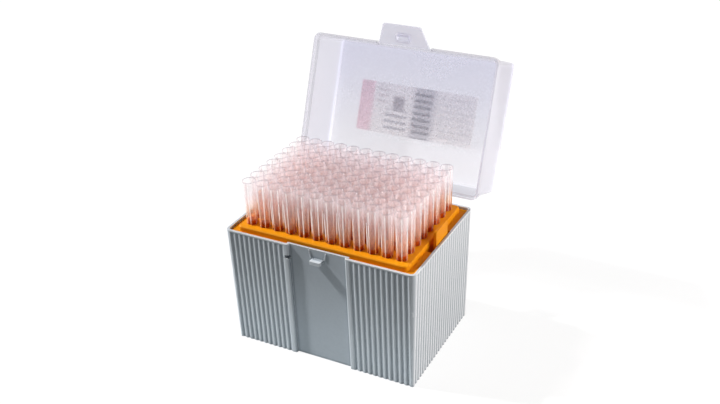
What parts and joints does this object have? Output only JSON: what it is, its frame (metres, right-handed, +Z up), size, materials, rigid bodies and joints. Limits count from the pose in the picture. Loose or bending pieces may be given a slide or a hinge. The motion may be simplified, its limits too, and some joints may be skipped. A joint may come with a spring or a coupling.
{
  "type": "box of pipette tips",
  "caption": "Ribbed grey box with an orange deck holding a grid of fluted clear pipette tips, and an open frosted lid hinged at the back with a folding latch tab.",
  "frame": {"origin": "middle of the base's flat underside", "axes": "+X to the right along the long side, +Y from the front to the hinge at the back, +Z up"},
  "size_m": [0.1274, 0.1576, 0.1773],
  "materials": {
    "base_plastic": "moulded polypropylene, light satin grey",
    "deck_plastic": "moulded, satin orange",
    "lid_plastic": "natural polypropylene, frosted inside the top",
    "latch_plastic": "natural polypropylene, clear",
    "label_film": "printed film",
    "tip_plastic": "clear polypropylene"
  },
  "bodies": {
    "base": {"base": "base_plastic", "deck": "deck_plastic", "tips_column_01": "tip_plastic", "tips_column_02": "tip_plastic", "tips_column_03": "tip_plastic", "tips_column_04": "tip_plastic", "tips_column_05": "tip_plastic", "tips_column_06": "tip_plastic", "tips_column_07": "tip_plastic", "tips_column_08": "tip_plastic", "tips_column_09": "tip_plastic", "tips_column_10": "tip_plastic", "tips_column_11": "tip_plastic", "tips_column_12": "tip_plastic"},
    "lid": {"lid": "lid_plastic", "label": "label_film"},
    "latch": {"latch_tab": "latch_plastic"}
  },
  "joints": [
    {"name": "lid_hinge", "type": "hinge", "parent": "base", "child": "lid", "pos_m": [0, 0.0471, 0.0782], "axis": [1, 0, 0], "range_deg": [0, 111.3]},
    {"name": "latch_fold", "type": "hinge", "parent": "lid", "child": "latch", "pos_m": [0, 0.07887, 0.163], "axis": [1, 0, 0], "range_deg": [-34, 56], "stiffness_Nm_per_rad": 0.01}
  ]
}
